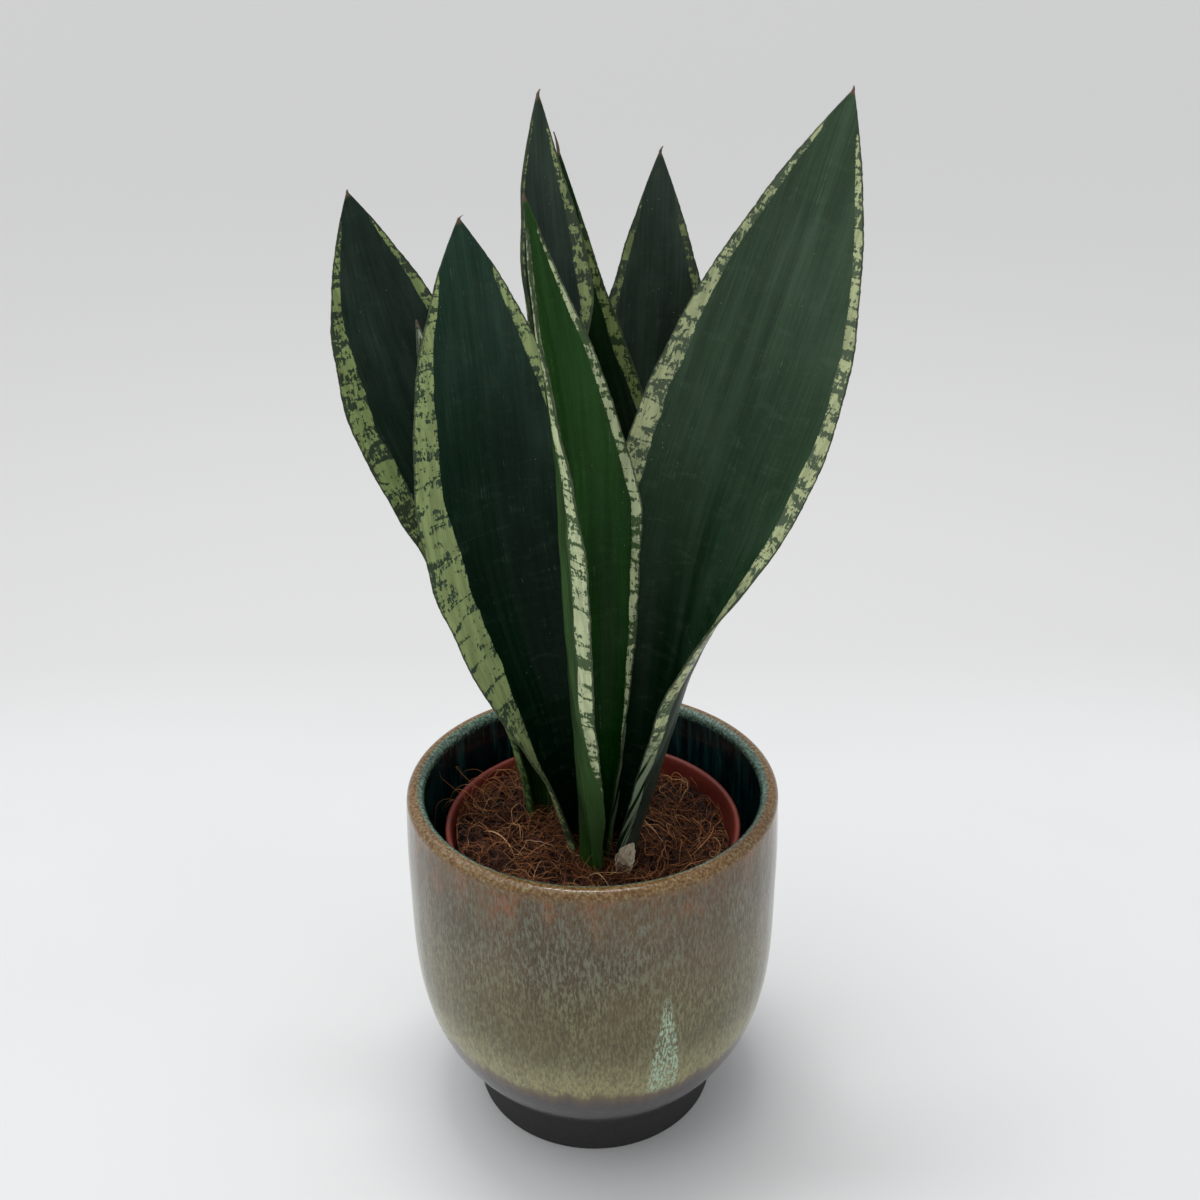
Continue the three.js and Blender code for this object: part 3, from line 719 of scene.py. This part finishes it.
def glaze_material():
    t = Tree("reactive_glaze")
    z = t.split(t.attribute("pot_mm"))[2]
    inner = t.value_of("pot_inner")
    flow = t.attribute("pot_dir")

    def dashes(scale, stretch, shift, low, high, detail=3.0):
        """Short streaks down the wall, from 0 where the noise is low to 1 where it is high."""
        where = t.shifted(t.place(scale, scale, scale * stretch), (shift, shift * 0.7, 0))
        return t.step(t.noise(where, detail=detail, rough=0.6, distort=0.35), low, high)

    def round_noise(scale, shift, detail):
        return t.noise(t.shifted(flow, (shift, 0, 0)), scale=scale, detail=detail, rough=0.55)

    # outside: olive brown with short grey dashes, rusty above and yellow-green low down
    cloud = t.noise(t.place(0.035, 0.035, 0.02), detail=3)
    clay = t.blend(t.step(cloud, 0.35, 0.65), (80, 66, 42), (98, 82, 54))
    rust = t.step(t.add(z, t.sway(round_noise(7, 3, 5), 60)), HEIGHT - 26, HEIGHT - 2)
    patch = dashes(0.09, 0.55, 5, 0.5, 0.66, detail=4)
    clay = t.blend(t.times(rust, t.add(0.2, t.times(patch, 0.55))), clay, (142, 86, 44))
    clay = t.blend(t.times(t.step(z, 116, 72), 0.8), clay, (94, 86, 54))
    fine = t.times(dashes(1.6, 0.24, 2, 0.5, 0.62), 0.85)
    fleck = t.math("MAXIMUM", dashes(0.95, 0.26, 1, 0.47, 0.6), fine)
    fleck_colour = t.blend(t.step(z, 82, 136), (138, 138, 100), (126, 130, 114))
    density = t.add(0.42, t.times(dashes(0.05, 0.6, 9, 0.35, 0.65), 0.3))
    body = t.blend(t.times(fleck, density, t.less(1.0, t.times(rust, 0.3))), clay, fleck_colour)
    body = t.blend(t.times(dashes(1.1, 0.26, 14, 0.53, 0.66), 0.5), body, (58, 50, 32))

    # the low bright zone, its wavy edge and the plain purple-grey below
    line = t.add(GLAZE_LINE, t.add(t.sway(round_noise(1.6, 11, 2), 20), t.sway(round_noise(11, 12, 4), 13)))
    over = t.less(z, line)
    bright = t.times(t.step(over, 26, 2), t.add(0.3, t.times(dashes(0.9, 0.3, 21, 0.4, 0.62), 0.6)))
    body = t.blend(t.times(bright, 0.78), body, (172, 168, 118))
    smear = t.noise(t.place(0.2, 0.2, 0.05), detail=4)
    below = t.blend(smear, (54, 52, 54), (80, 76, 76))
    below = t.blend(t.times(t.step(over, -10, 0), 0.7), below, (116, 96, 68))
    body = t.blend(t.step(t.add(over, t.sway(smear, 7)), -2.6, 2.2), below, body)

    # one mint run of glaze on the front, a little to the right
    offset = t.times(t.dot(flow, (-math.sin(RUN_ANGLE), math.cos(RUN_ANGLE), 0)), RIM)
    facing = t.dot(flow, (math.cos(RUN_ANGLE), math.sin(RUN_ANGLE), 0))
    width = t.add(1.0, t.times(t.step(z, RUN_TOP, RUN_FOOT + 10), 5.0))
    run = t.step(t.less(width, t.math("ABSOLUTE", offset)), -1.2, 0.8)
    ends = t.times(t.step(z, RUN_TOP, RUN_TOP - 14), t.step(z, RUN_FOOT, RUN_FOOT + 6))
    run = t.times(run, t.step(facing, 0.2, 0.6), ends, dashes(1.3, 0.32, 30, 0.46, 0.56, detail=5))
    body = t.blend(t.times(run, 0.9), body, (176, 204, 176))

    # rim: rust outside and on top, worn mint on the inner lip; inside almost black teal
    speckle = t.noise(t.place(0.8), detail=4, rough=0.7)
    lip = t.step(t.add(z, t.sway(speckle, 3)), HEIGHT - 6, HEIGHT - 2)
    rusty = t.ramp(speckle, (0.3, (66, 42, 22)), (0.48, (114, 82, 46)), (0.58, (140, 116, 76)),
                   (0.68, (134, 140, 112)))
    body = t.blend(t.times(lip, 0.9), body, rusty)
    depth = t.noise(t.place(0.35, 0.35, 0.04), detail=4)
    well = t.ramp(depth, (0.35, (6, 22, 23)), (0.52, (14, 44, 46)), (0.7, (40, 84, 82)))
    mint = t.ramp(speckle, (0.36, (58, 58, 44)), (0.5, (76, 108, 94)), (0.66, (136, 160, 142)))
    well = t.blend(t.step(t.add(z, t.sway(speckle, 3.4)), HEIGHT - 4.8, HEIGHT - 2.2), well, mint)
    body = t.blend(t.step(t.add(inner, t.sway(speckle, 0.35)), 0.72, 0.9), body, well)

    # bare foot
    clay_grain = t.noise(t.place(1.6), detail=5, rough=0.7)
    bare = t.ramp(clay_grain, (0.3, (32, 32, 32)), (0.6, (48, 48, 47)), (0.8, (70, 69, 67)))
    glazed = t.math("MAXIMUM", t.step(z, FOOT_HEIGHT - 0.9, FOOT_HEIGHT - 0.2), t.step(inner, 0.4, 0.5))
    unglazed = t.less(1.0, glazed)
    colour = t.blend(glazed, bare, body)

    gloss = t.add(0.07, t.times(t.math("MAXIMUM", bright, fleck), 0.1))
    rough = t.add(t.times(glazed, gloss), t.times(unglazed, 0.72))
    orange_peel = t.noise(t.place(0.22, 0.22, 0.10), detail=2)
    relief = t.times(t.add(t.times(fleck, 0.5), t.times(run, 1.5)), glazed)
    normal = t.bump(t.times(clay_grain, unglazed), 0.35, t.bump(relief, 0.035, t.bump(orange_peel, 0.16)))
    return t.finish(Base_Color=colour, Roughness=rough, Normal=normal, IOR=1.46)


points, faces = turned(pot_profile(), 480, pot_shift)
radius, z = np.hypot(points[:, 0], points[:, 1]), points[:, 2]
in_well = (radius < bowl(np.maximum(z, FOOT_HEIGHT)) - WALL / 2) & (z > FLOOR - 1)
inner = np.where(z > HEIGHT - LIP, ease((RIM - LIP) - radius, -2.0, 2.0), in_well)
direction = np.stack([points[:, 0], points[:, 1], 0 * radius], -1) / np.maximum(radius, 1e-6)[:, None]
add_piece("cachepot_glazed", points, faces, glaze_material(), ["cachepot"],
          {"pot_mm": points, "pot_inner": inner, "pot_dir": direction})


# -------------------- nursery pot

def plastic_material():
    t = Tree("terracotta_plastic")
    grain = t.noise(t.place(2.5), detail=3)
    cloud = t.noise(t.place(0.05, 0.05, 0.08), detail=4)
    scuff = t.noise(t.place(0.25, 0.25, 1.8), detail=4, rough=0.7)
    colour = t.ramp(cloud, (0.3, (98, 32, 22)), (0.6, (122, 42, 30)), (0.8, (140, 58, 42)))
    colour = t.blend(t.times(t.step(scuff, 0.56, 0.7), 0.35), colour, (156, 84, 62))
    dust = t.noise(t.place(0.9), detail=4, rough=0.7)
    colour = t.blend(t.times(t.step(dust, 0.56, 0.7), 0.5), colour, (70, 38, 26))
    rough = t.add(0.36, t.times(cloud, 0.25))
    return t.finish(Base_Color=colour, Roughness=rough, Normal=t.bump(grain, 0.05, t.bump(scuff, 0.05)))


NURSERY_WALL, NURSERY_LIP, NURSERY_OVERHANG, NURSERY_HEEL = 1.4, 9, 0.9, 1.5
NURSERY_BASE = FOOT - 8
DRAIN_HOLES, DRAIN_RADIUS, DRAIN_REACH = 6, 3.5, 29
nursery_low, nursery_high = box_mm("nursery_pot")
nursery_floor, nursery_rim, nursery_radius = nursery_low[2], nursery_high[2], nursery_high[0]


def nursery_wall(z):
    share = (z - nursery_floor) / (nursery_rim - nursery_floor)
    return NURSERY_BASE + (nursery_radius - NURSERY_OVERHANG - NURSERY_BASE) * share


def nursery_profile():
    low, top, wall, edge = nursery_floor, nursery_rim, NURSERY_WALL, nursery_radius
    lip = top - NURSERY_LIP
    flat = NURSERY_BASE - NURSERY_HEEL
    under_floor = [[r, low] for r in np.linspace(0, flat, 26)[:-1]]
    heel = arc(flat, low + NURSERY_HEEL, NURSERY_HEEL, -np.pi / 2, 0, 5)
    outside = [[nursery_wall(z), z] for z in np.linspace(low + 2.2, lip - 0.3, 28)]
    under = [[nursery_wall(lip) + 0.2, lip - 0.05], [edge - 0.5, lip], [edge - 0.12, lip + 0.2]]
    band = [[edge, z] for z in np.linspace(lip + 0.6, top - 0.9, 7)]
    rounded = arc(edge - 0.8, top - 0.8, 0.8, 0, np.pi / 2, 6)
    back = [[edge - wall - 0.2, top - 0.08], [edge - wall - 0.7, top - 0.5]]
    inside = [[nursery_wall(z) - wall, z] for z in np.linspace(top - wall, low + wall + 1, 34)]
    floor = [[r, low + wall] for r in np.linspace(nursery_wall(low) - wall - 1, 0, 26)]
    return [*under_floor, *heel, *outside, *under, *band, *rounded, *back, *inside, *floor]


def with_holes(piece, spots, radius, low, high):
    """Cuts round holes through a flat floor."""
    ring = np.linspace(0, 2 * np.pi, 28, endpoint=False)
    points, faces = [], []
    for x, y in spots:
        base = len(points)
        for z in (low, high):
            points += [[x + radius * math.cos(a), y + radius * math.sin(a), z] for a in ring]
        n = len(ring)
        faces += [[base + i, base + (i + 1) % n, base + n + (i + 1) % n, base + n + i] for i in range(n)]
        faces += [[base + i for i in range(n)][::-1], [base + n + i for i in range(n)]]
    mesh = bpy.data.meshes.new("drill")
    mesh.from_pydata((np.array(points) * MM).tolist(), [], faces)
    drill = new_object("drill", mesh)
    cut = piece.modifiers.new("holes", "BOOLEAN")
    cut.operation, cut.solver, cut.object = "DIFFERENCE", "EXACT", drill
    graph = bpy.context.evaluated_depsgraph_get()
    done = bpy.data.meshes.new_from_object(piece.evaluated_get(graph))
    # the cut leaves slivers
    clean = bmesh.new()
    clean.from_mesh(done)
    bmesh.ops.remove_doubles(clean, verts=clean.verts, dist=0.02 * MM)
    bmesh.ops.dissolve_degenerate(clean, edges=clean.edges, dist=0.01 * MM)
    clean.to_mesh(done)
    clean.free()
    piece.modifiers.clear()
    piece.data = done
    bpy.data.objects.remove(drill)


def nursery_shift(angle, r, z):
    return 0.12 * ring_ripple(angle, 41, [2, 3, 5]) * ease(z, 30, 110)


points, faces = turned(nursery_profile(), 200, nursery_shift)
look = plastic_material()
nursery = add_piece("nursery_pot_shell", points, faces, look, ["nursery_pot"])
turns = np.linspace(0, 2 * np.pi, DRAIN_HOLES, endpoint=False)
drains = [(0, 0), *[(DRAIN_REACH * math.cos(a), DRAIN_REACH * math.sin(a)) for a in turns]]
with_holes(nursery, drains, DRAIN_RADIUS, nursery_floor - 2, nursery_floor + NURSERY_WALL + 2)


# -------------------- coir

COIR_LEVEL, COIR_GAP = nursery_rim - 8.5, 0.3
coir_floor = box_mm("coir_block")[0][2]


def coir_side(z):
    return nursery_wall(z) - NURSERY_WALL - COIR_GAP


def coir_surface(x, y):
    """The CAD's surface."""
    return COIR_LEVEL + 2 * np.sin(x / 13 + 0.6) * np.cos(y / 11 - 0.4) - 0.05 * x


def coir_lumps(x, y):
    broad = 1.1 * np.sin(x / 4.1 + 1.3) * np.cos(y / 3.7 + 0.4)
    small = 0.7 * np.sin((x + y) / 2.3) * np.sin((x - y) / 2.9 + 1)
    return broad + small + 0.35 * np.sin(x / 1.3 + 2) * np.sin(y / 1.1)


def coir_block_mesh(rings=110, segments=220):
    top = coir_side(COIR_LEVEL - 5)
    angle = np.linspace(0, 2 * np.pi, segments, endpoint=False)
    rows = []
    for r in np.linspace(0, top, rings + 1)[1:]:
        x, y = r * np.cos(angle), r * np.sin(angle)
        lumps = coir_lumps(x, y) - 0.9 - 1.2 * ease(r, top - 4, top)
        rows.append(np.stack([x, y, coir_surface(x, y) + lumps], -1))
    for k in np.linspace(0, 1, 14)[1:]:
        z = rows[rings - 1][:, 2] * (1 - k) + coir_floor * k
        r = np.minimum(coir_side(z), top) - 0.15 * ripple(angle * top + z, 61, [5, 9])**2 * (k < 1)
        rows.append(np.stack([r * np.cos(angle), r * np.sin(angle), z], -1))
    points, faces = closed_rings(np.array(rows), [0, 0, coir_surface(0, 0) - 0.9], [0, 0, coir_floor])
    return points, [face[::-1] for face in faces]


def coir_material():
    t = Tree("coir_pith")
    crumb = t.noise(t.place(0.8), detail=5, rough=0.75)
    hair = t.noise(t.place(1.6, 0.35, 1.0), detail=4, distort=2.5)
    # painted shade: the pith's brown is darkened almost to black, for the deep gaps between the fibres
    colour = t.ramp(crumb, (0.3, (10, 5, 4)), (0.5, (30, 15, 10)), (0.72, (66, 35, 20)))
    colour = t.blend(t.times(t.step(hair, 0.54, 0.62), 0.5), colour, (92, 50, 28))
    return t.finish(Base_Color=colour, Roughness=0.95, Normal=t.bump(crumb, 1.2, t.bump(hair, 0.6)))


def fibre_material():
    t = Tree("coir_fibre")
    tint_and_lighting, along, around = t.split(t.attribute("strand"))
    mark = t.noise(t.join(t.times(along, 0.6), around, t.times(tint_and_lighting, 40)), detail=3)
    # tint runs from dark to pale brown: the fibres' own colour with painted shade and painted highlight in
    # it
    colour = t.ramp(t.add(tint_and_lighting, t.sway(mark, 0.2)), (0.0, (24, 10, 6)), (0.3, (78, 38, 18)),
                    (0.55, (140, 80, 38)), (0.8, (182, 122, 68)), (1.0, (224, 188, 140)))
    return t.finish(Base_Color=colour, Roughness=0.62, Normal=t.bump(mark, 0.05))


def tubes(paths, radii, tints_and_lighting, sides):
    """Thin closed tubes along paths of equally many points, as one mesh."""
    count, steps = paths.shape[:2]
    run = unit(np.gradient(paths, axis=1))
    up = np.array([0.05, 0.03, 1.0])
    side = unit(np.cross(run, up))
    top = np.cross(side, run)
    angle = np.linspace(0, 2 * np.pi, sides, endpoint=False)
    circle = side[:, :, None] * np.cos(angle)[:, None] + top[:, :, None] * np.sin(angle)[:, None]
    points = (paths[:, :, None] + circle * radii[:, :, None, None]).reshape(-1, 3)
    quads = grid_faces(steps, sides)[:, ::-1]
    faces = (quads[None] + (np.arange(count) * steps * sides)[:, None, None]).reshape(-1, 4).tolist()
    for k in range(count):
        first = k * steps * sides
        last = first + (steps - 1) * sides
        faces.append([first + i for i in range(sides)])
        faces.append([last + i for i in range(sides)][::-1])
    length = np.cumsum(np.linalg.norm(np.diff(paths, axis=1, prepend=paths[:, :1]), axis=-1), 1)
    strand = np.stack(np.broadcast_arrays(tints_and_lighting[:, None, None], length[:, :, None], angle[None, None]), -1)
    return points, faces, strand.reshape(-1, 3)


def column(values):
    return values[:, None]


def walk(x, y, headings, lengths, lean=1.0):
    """Points along strands that start at x, y and go in these headings. lean shortens the steps."""
    step = column(lengths) / (headings.shape[1] - 1)
    x = column(x) + np.cumsum(lean * np.cos(headings) * step, 1)
    y = column(y) + np.cumsum(lean * np.sin(headings) * step, 1)
    return x, y, step


def kept_within(x, y, reach):
    pull = np.minimum(1, reach / np.maximum(np.hypot(x, y), 1e-6))
    return x * pull, y * pull


def fibre_paths(rng, count, lengths, arch, base, bend, steps=13):
    """Strands that lie on the coir and arch a little."""
    reach = coir_side(COIR_LEVEL) - 0.8
    r, around = reach * np.sqrt(rng.uniform(0, 1, count)), rng.uniform(0, 2 * np.pi, count)
    length = rng.uniform(*lengths, count)
    t = np.linspace(0, 1, steps)
    s = t[None] * column(length)
    heading = column(rng.uniform(0, 2 * np.pi, count)) + column(rng.normal(0, bend, count)) * s
    size, wave = column(rng.uniform(0.1, 0.6, count)), column(rng.uniform(1.6, 4.5, count))
    heading += size * np.sin(s / wave + column(rng.uniform(0, 6, count)))
    x, y, step = walk(r * np.cos(around), r * np.sin(around), heading, length)
    x, y = kept_within(x, y, reach)
    rise = column(rng.uniform(*base, count)) + column(np.abs(rng.normal(0, arch, count))) * np.sin(np.pi * t)
    rise += 0.35 * np.sin(s * 1.1 + column(rng.uniform(0, 6, count)))
    return np.stack([x, y, coir_surface(x, y) + coir_lumps(x, y) * 0.7 + rise - 0.6], -1)


points, faces = coir_block_mesh()
add_piece("coir_pith", points, faces, coir_material(), ["coir_block"])
fibre_look = fibre_material()
# each layer's tints go from dark low down to light on top: the fibres' own colour, with painted shade on the
# lower fibres and painted highlight on the top ones
for name, seed, count, lengths, arch, base, bend, thick, tints_and_lighting in (
    ("coir_fibres_low", 71, 1700, (7, 22), 0.8, (-0.6, 1.0), 0.16, 0.2, (0.0, 0.26)),
    ("coir_fibres_mid", 72, 1100, (9, 26), 2.0, (0.2, 2.6), 0.17, 0.15, (0.1, 0.6)),
    ("coir_fibres_top", 73, 620, (12, 36), 3.8, (1.0, 3.8), 0.15, 0.13, (0.35, 1.0)),
):
    rng = np.random.default_rng(seed)
    paths = fibre_paths(rng, count, lengths, arch, base, bend)
    taper = 0.35 + 0.65 * np.sin(np.pi * np.linspace(0.06, 0.94, paths.shape[1])) ** 0.6
    radii = thick * column(rng.uniform(0.55, 1.6, count)) * taper
    tint_and_lighting = tints_and_lighting[0] + (tints_and_lighting[1] - tints_and_lighting[0]) * rng.beta(1.5, 2.2, count)
    points, faces, strand = tubes(paths, radii, tint_and_lighting, sides=3)
    add_piece(name, points, faces, fibre_look, (), {"strand": strand})


STRAY_REACH = RIM - WALL - 1.5


def stray_paths(seed, count, angles, lengths, lift, steps=18):
    """Loose strands that stand up from the edge of the coir and curl over."""
    rng = np.random.default_rng(seed)
    around = np.radians(rng.uniform(*angles, count))
    r = rng.uniform(40, 54, count)
    length = rng.uniform(*lengths, count)
    t = np.linspace(0, 1, steps)
    s = t[None] * column(length)
    heading = around + rng.normal(0, 0.9, count)
    pitch = column(rng.uniform(*lift, count)) - column(rng.uniform(1.2, 3.4, count)) * t**1.3
    pitch += 0.35 * np.sin(s / 4 + column(rng.uniform(0, 6, count)))
    turn = column(heading) + column(rng.normal(0, 0.05, count)) * s
    x, y, step = walk(r * np.cos(around), r * np.sin(around), turn, length, np.cos(pitch))
    far = np.hypot(x, y)
    x, y = kept_within(x, y, STRAY_REACH)
    lowest = np.where(far < nursery_radius, coir_surface(x, y) + 0.3, nursery_rim - 12)
    start = coir_surface(x[:, :1], y[:, :1]) - 1
    return np.stack([x, y, np.maximum(start + np.cumsum(np.sin(pitch) * step, 1), lowest)], -1)


def smooth_paths(corners, steps):
    """Each row of corner points as a path of so many steps with its bends smoothed."""
    corners = np.array(corners, float)
    at = np.linspace(0, corners.shape[1] - 1, steps)
    k = np.minimum(at.astype(int), corners.shape[1] - 2)
    paths = corners[:, k] + (corners[:, k + 1] - corners[:, k]) * (at - k)[:, None]
    for _ in range(6):
        paths[:, 1:-1] = (paths[:, :-2] + 2 * paths[:, 1:-1] + paths[:, 2:]) / 4
    return paths


# four long strands, with the thickness and tint of each; their light tints are partly a painted highlight
LONG_STRANDS = [
    [[-46, 1, 122.5], [-43, -1, 125], [-38, -5.5, 126.5], [-34, -11, 126], [-31.5, -16, 124],
     [-30, -20, 121.5]],
    [[-2, -28, 121], [0, -30, 125], [2, -32, 126.5], [4, -34, 126], [6, -36, 124], [7, -38, 121.5]],
    [[38, -14, 119], [42, -12, 122.5], [46, -8, 124], [49, -2, 124], [50, 4, 122], [50, 9, 119]],
    [[-30, 20, 122], [-36, 22, 126], [-42, 24, 131], [-47, 23, 135], [-50, 20, 137], [-52, 16, 137]],
]
LONG_RADII, LONG_TINTS_AND_LIGHTING = [0.34, 0.2, 0.26, 0.15], [0.95, 1.0, 0.8, 0.7]

strays = np.concatenate([stray_paths(*spec) for spec in (
    (81, 26, (135, 205), (14, 34), (0.7, 1.5)),
    (82, 12, (-35, 40), (12, 26), (0.3, 1.2)),
    (83, 16, (205, 325), (10, 24), (0.2, 1.0)),
)])
paths = np.concatenate([strays, smooth_paths(LONG_STRANDS, strays.shape[1])])
rng = np.random.default_rng(84)
radii = rng.uniform(0.09, 0.17, len(paths))
radii[-len(LONG_RADII):] = LONG_RADII
# the loose strays and long strands get light tints: their own colour with painted highlight
tints_and_lighting = np.concatenate([rng.uniform(0.45, 0.9, len(strays)), LONG_TINTS_AND_LIGHTING])
taper = 0.3 + 0.7 * np.linspace(1, 0, paths.shape[1]) ** 0.7
points, faces, strand = tubes(paths, column(radii) * taper, tints_and_lighting, sides=5)
add_piece("coir_strays", points, faces, fibre_look, (), {"strand": strand})


# -------------------- rhizome

def rhizome_material():
    t = Tree("rhizome_skin")
    rings = t.noise(t.place(0.08, 0.08, 0.6), detail=4, distort=0.6)
    skin = t.noise(t.place(0.6), detail=5, rough=0.7)
    colour = t.ramp(skin, (0.3, (150, 104, 52)), (0.55, (196, 152, 88)), (0.75, (222, 190, 132)))
    colour = t.blend(t.times(t.step(rings, 0.54, 0.6), 0.7), colour, (104, 66, 36))
    return t.finish(Base_Color=colour, Roughness=0.75, Normal=t.bump(rings, 0.8, t.bump(skin, 0.3)))


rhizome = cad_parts["rhizome"]
rhizome.data.materials.clear()
rhizome.data.materials.append(rhizome_material())


# -------------------- floor and light

FLOOR_HALF, FLOOR_CELLS = 200.0, 40


def floor_material():
    t = Tree("pale_floor")
    y = t.split(t.node("TexCoord").outputs["Object"])[1]
    mottle = t.noise(t.place(0.004), detail=3)
    # painted shade: the floor is painted darker beyond y = 0.2 to 0.42 m, for the dimmer far backdrop
    far = t.step(t.add(y, t.sway(mottle, 0.05)), 0.2, 0.42)
    colour = t.blend(far, (229, 230, 231), (219, 219, 219))
    colour = t.blend(t.times(t.step(mottle, 0.4, 0.7), 0.2), colour, (220, 220, 221))
    return t.finish(Base_Color=colour, Roughness=0.6)


line = np.linspace(-FLOOR_HALF, FLOOR_HALF, FLOOR_CELLS + 1)
x, y = np.meshgrid(line, line, indexing="ij")
faces = grid_faces(FLOOR_CELLS + 1, FLOOR_CELLS + 1, around=False)[:, ::-1]
mesh = bpy.data.meshes.new("floor")
mesh.from_pydata(np.stack([x, y, 0 * x], -1).reshape(-1, 3).tolist(), [], faces.tolist())
mesh.materials.append(floor_material())
floor = new_object("floor", mesh)

light = bpy.data.lights.new("softbox_top", "AREA")
light.shape, light.size, light.size_y, light.energy = "RECTANGLE", 0.5, 0.16, 5.0
spot = np.array([-0.05, 0.15, 1.5])
back = unit(spot - [0, 0, 0.15])
right = unit(np.cross([0, 1.0, 0.001], back))
up = np.cross(back, right)
softbox = new_object("softbox_top", light)
softbox.matrix_world = Matrix([[right[k], up[k], back[k], spot[k]] for k in range(3)] + [[0, 0, 0, 1]])

sun = new_object("soft_sky", bpy.data.lights.new("soft_sky", "SUN"))
sun.data.energy, sun.data.angle = 1.15, math.radians(70)
sun.rotation_euler = (math.radians(-8), math.radians(-20), 0)

world = bpy.data.worlds.new("studio")
world.use_nodes = True
background = world.node_tree.nodes["Background"].inputs
background["Color"].default_value, background["Strength"].default_value = (0.96, 0.965, 0.97, 1), 0.56
bpy.context.scene.world = world
bpy.context.scene.view_settings.view_transform = "Standard"
